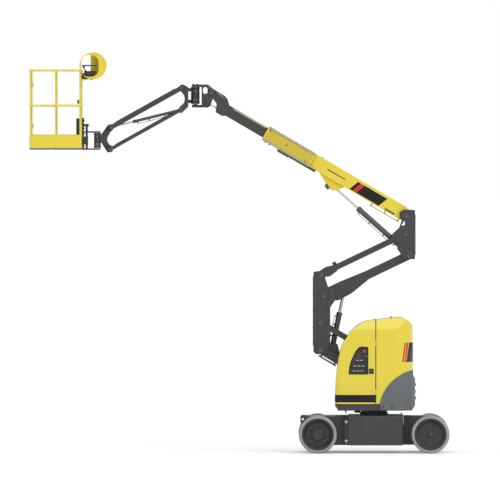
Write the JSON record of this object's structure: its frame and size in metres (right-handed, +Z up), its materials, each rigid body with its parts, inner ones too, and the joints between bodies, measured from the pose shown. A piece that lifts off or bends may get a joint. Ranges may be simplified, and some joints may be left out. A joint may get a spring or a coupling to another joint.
{
  "type": "articulating boom lift",
  "caption": "Narrow electric boom lift: folding riser, telescoping boom, swinging jib and guarded work platform on a slewing turntable and wheeled chassis.",
  "frame": {"origin": "on the floor, on the slewing axis of the turntable", "axes": "+X towards the counterweight and the steered wheels, with the boom pointing to -X, +Y to the left-hand side of the turntable, +Z up"},
  "size_m": [6.1645, 1.2, 5.882],
  "materials": {
    "yellow_enamel": "gloss enamel",
    "grey_enamel": "satin enamel",
    "olive_enamel": "satin enamel",
    "rim_enamel": "satin enamel",
    "grey_tyre": "non-marking rubber",
    "cylinder_enamel": "satin enamel",
    "chrome_rod": "polished",
    "cast_weight": "painted casting",
    "hood_plastic": "moulded",
    "black_plastic": "moulded",
    "battery_case": "moulded"
  },
  "bodies": {
    "chassis": {"chassis_frame": "grey_enamel", "steer_axle": "grey_enamel", "drive_hubs": "grey_enamel"},
    "drive_wheel_left": {"drive_rim_left": "rim_enamel", "drive_tyre_left": "grey_tyre"},
    "drive_wheel_right": {"drive_rim_right": "rim_enamel", "drive_tyre_right": "grey_tyre"},
    "knuckle_left": {"steer_knuckle_left": "grey_enamel"},
    "knuckle_right": {"steer_knuckle_right": "grey_enamel"},
    "steer_wheel_left": {"steer_rim_left": "rim_enamel", "steer_tyre_left": "grey_tyre"},
    "steer_wheel_right": {"steer_rim_right": "rim_enamel", "steer_tyre_right": "grey_tyre"},
    "turntable": {"turntable_frame": "grey_enamel", "counterweight": "cast_weight", "battery_packs": "battery_case", "control_panel": "black_plastic", "rear_hood": "hood_plastic"},
    "hood_door_left": {"door_left": "hood_plastic"},
    "hood_door_right": {"door_right": "hood_plastic"},
    "lower_arm": {"lower_link": "grey_enamel"},
    "lower_tie": {"lower_tie_link": "grey_enamel"},
    "riser": {"riser_upright": "grey_enamel"},
    "riser_barrel": {"riser_cylinder_barrel": "cylinder_enamel"},
    "riser_rod": {"riser_cylinder_rod": "chrome_rod"},
    "upper_arm": {"upper_link": "grey_enamel"},
    "upper_tie": {"upper_tie_link": "grey_enamel"},
    "riser_head": {"boom_upright": "grey_enamel"},
    "boom_barrel": {"boom_cylinder_barrel": "cylinder_enamel"},
    "boom_rod": {"boom_cylinder_rod": "chrome_rod"},
    "boom": {"main_boom": "yellow_enamel", "hose_tray": "yellow_enamel", "energy_chain": "black_plastic"},
    "fly": {"fly_boom": "grey_enamel"},
    "level_barrel": {"level_cylinder_barrel": "cylinder_enamel"},
    "level_rod": {"level_cylinder_rod": "chrome_rod"},
    "fork": {"gooseneck_fork": "grey_enamel"},
    "jib_base": {"jib_swing_base": "grey_enamel"},
    "jib_arm": {"jib_upper_link": "grey_enamel"},
    "jib_tie": {"jib_lower_link": "grey_enamel"},
    "jib_barrel": {"jib_cylinder_barrel": "cylinder_enamel"},
    "jib_rod": {"jib_cylinder_rod": "chrome_rod"},
    "jib_end": {"jib_head": "grey_enamel", "platform_rotator": "olive_enamel"},
    "platform": {"platform_support": "grey_enamel", "platform_frame": "yellow_enamel", "platform_floor": "grey_enamel", "console": "black_plastic", "console_guard": "yellow_enamel", "document_box": "black_plastic"},
    "gate": {"platform_gate": "yellow_enamel"}
  },
  "joints": [
    {"name": "drive_wheel_left_roll", "type": "hinge", "parent": "chassis", "child": "drive_wheel_left", "pos_m": [-0.826, 0.511, 0.2795], "axis": [0, 1, 0], "continuous": true},
    {"name": "drive_wheel_right_roll", "type": "hinge", "parent": "chassis", "child": "drive_wheel_right", "pos_m": [-0.826, -0.511, 0.2795], "axis": [0, 1, 0], "continuous": true},
    {"name": "steer_wheel_left_roll", "type": "hinge", "parent": "knuckle_left", "child": "steer_wheel_left", "pos_m": [0.826, 0.511, 0.2795], "axis": [0, 1, 0], "continuous": true},
    {"name": "steer_wheel_right_roll", "type": "hinge", "parent": "knuckle_right", "child": "steer_wheel_right", "pos_m": [0.826, -0.511, 0.2795], "axis": [0, 1, 0], "continuous": true},
    {"name": "steering", "type": "hinge", "parent": "chassis", "child": "knuckle_left", "pos_m": [0.826, 0.368, 0.2795], "axis": [0, 0, 1], "range_deg": [-30, 30]},
    {"name": "steering_right", "type": "hinge", "parent": "chassis", "child": "knuckle_right", "pos_m": [0.826, -0.368, 0.2795], "axis": [0, 0, 1], "range_deg": [-30, 30]},
    {"name": "turntable_swing", "type": "hinge", "parent": "chassis", "child": "turntable", "pos_m": [0, 0, 0.6], "axis": [0, 0, 1], "range_deg": [-175, 175]},
    {"name": "hood_door_right_swing", "type": "hinge", "parent": "turntable", "child": "hood_door_right", "pos_m": [0.021, -0.583, 0.8], "axis": [0, 0, 1], "range_deg": [0, 70]},
    {"name": "hood_door_left_swing", "type": "hinge", "parent": "turntable", "child": "hood_door_left", "pos_m": [0.021, 0.583, 0.8], "axis": [0, 0, -1], "range_deg": [0, 70]},
    {"name": "riser_lift", "type": "hinge", "parent": "turntable", "child": "lower_arm", "pos_m": [0.405, 0, 0.8], "axis": [0, 1, 0], "range_deg": [-36, 34]},
    {"name": "lower_tie_turn", "type": "hinge", "parent": "turntable", "child": "lower_tie", "pos_m": [0.398, 0, 1.2], "axis": [0, 1, 0], "range_deg": [-36.5, 34.5]},
    {"name": "riser_level", "type": "hinge", "parent": "lower_arm", "child": "riser", "pos_m": [-0.778, 0, 1.511], "axis": [0, 1, 0], "range_deg": [-34.5, 36.5]},
    {"name": "riser_barrel_turn", "type": "hinge", "parent": "lower_arm", "child": "riser_barrel", "pos_m": [-0.619, 0, 1.5], "axis": [0, 1, 0], "range_deg": [-38.07, 40.28]},
    {"name": "riser_rod_slide", "type": "slide", "parent": "riser_barrel", "child": "riser_rod", "axis": [0.2032, 0, 0.9791], "range_m": [-0.2336, 0.2208]},
    {"name": "upper_arm_turn", "type": "hinge", "parent": "riser", "child": "upper_arm", "pos_m": [-0.726, 0, 2.306], "axis": [0, -1, 0], "range_deg": [-30.85, 29.16]},
    {"name": "upper_tie_turn", "type": "hinge", "parent": "riser", "child": "upper_tie", "pos_m": [-0.77, 0, 2.618], "axis": [0, -1, 0], "range_deg": [-30.85, 29.16]},
    {"name": "riser_head_level", "type": "hinge", "parent": "upper_arm", "child": "riser_head", "pos_m": [0.517, 0, 2.901], "axis": [0, -1, 0], "range_deg": [-29.16, 30.85]},
    {"name": "boom_lift", "type": "hinge", "parent": "riser_head", "child": "boom", "pos_m": [0.487, 0, 3.482], "axis": [0, 1, 0], "range_deg": [-30, 44]},
    {"name": "boom_barrel_turn", "type": "hinge", "parent": "riser_head", "child": "boom_barrel", "pos_m": [0.391, 0, 3.03], "axis": [0, 1, 0], "range_deg": [-24.5, 35.7]},
    {"name": "boom_rod_slide", "type": "slide", "parent": "boom_barrel", "child": "boom_rod", "axis": [-0.7468, 0, 0.6651], "range_m": [-0.1993, 0.291]},
    {"name": "telescope", "type": "slide", "parent": "boom", "child": "fly", "axis": [-0.8634, 0, 0.5045], "range_m": [-0.48, 0.75]},
    {"name": "fork_level", "type": "hinge", "parent": "fly", "child": "fork", "pos_m": [-2.387, 0, 5.291], "axis": [0, 1, 0], "range_deg": [-44.5, 30.5]},
    {"name": "level_barrel_turn", "type": "hinge", "parent": "fly", "child": "level_barrel", "pos_m": [-1.983, 0, 4.92], "axis": [0, 1, 0], "range_deg": [-2, 2.7]},
    {"name": "level_rod_slide", "type": "slide", "parent": "level_barrel", "child": "level_rod", "axis": [-0.9137, 0, 0.4063], "range_m": [-0.122, 0.0842]},
    {"name": "jib_swing", "type": "hinge", "parent": "fork", "child": "jib_base", "pos_m": [-2.625, 0, 5.246], "axis": [0, 0, 1], "range_deg": [-90, 90]},
    {"name": "jib_lift", "type": "hinge", "parent": "jib_base", "child": "jib_arm", "pos_m": [-2.828, 0, 5.357], "axis": [0, 1, 0], "range_deg": [-30.8, 94]},
    {"name": "jib_tie_turn", "type": "hinge", "parent": "jib_base", "child": "jib_tie", "pos_m": [-2.836, 0, 5.036], "axis": [0, 1, 0], "range_deg": [-31.3, 94.5]},
    {"name": "jib_end_level", "type": "hinge", "parent": "jib_arm", "child": "jib_end", "pos_m": [-3.857, 0, 4.781], "axis": [0, 1, 0], "range_deg": [-94.5, 31.3]},
    {"name": "jib_barrel_turn", "type": "hinge", "parent": "jib_base", "child": "jib_barrel", "pos_m": [-2.836, 0, 5.036], "axis": [0, 1, 0], "range_deg": [-29.45, 88.86]},
    {"name": "jib_rod_slide", "type": "slide", "parent": "jib_barrel", "child": "jib_rod", "axis": [-0.9702, 0, -0.2423], "range_m": [-0.1535, 0.4624]},
    {"name": "platform_rotate", "type": "hinge", "parent": "jib_end", "child": "platform", "pos_m": [-4.063, 0, 4.585], "axis": [0, 0, 1], "range_deg": [-90, 90]},
    {"name": "gate_swing", "type": "hinge", "parent": "platform", "child": "gate", "pos_m": [-5.022, 0.548, 5], "axis": [0, 0, -1], "range_deg": [0, 85]}
  ],
  "couplings": [
    {"joint": "steering_right", "follows": "steering", "ratio": 1},
    {"joint": "lower_tie_turn", "follows": "riser_lift", "ratio": 1},
    {"joint": "riser_level", "follows": "riser_lift", "ratio": -1},
    {"joint": "riser_barrel_turn", "follows": "riser_lift", "ratio": -1.105},
    {"joint": "riser_rod_slide", "follows": "riser_lift", "m_per_rad": 0.367},
    {"joint": "upper_arm_turn", "follows": "riser_lift", "ratio": 0.843},
    {"joint": "upper_tie_turn", "follows": "riser_lift", "ratio": 0.843},
    {"joint": "riser_head_level", "follows": "riser_lift", "ratio": -0.843},
    {"joint": "boom_barrel_turn", "follows": "boom_lift", "ratio": 0.8},
    {"joint": "boom_rod_slide", "follows": "boom_lift", "m_per_rad": 0.375},
    {"joint": "fork_level", "follows": "boom_lift", "ratio": -1},
    {"joint": "level_barrel_turn", "follows": "boom_lift", "ratio": 0.05},
    {"joint": "level_rod_slide", "follows": "boom_lift", "m_per_rad": -0.155},
    {"joint": "jib_tie_turn", "follows": "jib_lift", "ratio": 1},
    {"joint": "jib_end_level", "follows": "jib_lift", "ratio": -1},
    {"joint": "jib_barrel_turn", "follows": "jib_lift", "ratio": 0.94},
    {"joint": "jib_rod_slide", "follows": "jib_lift", "m_per_rad": 0.28}
  ]
}
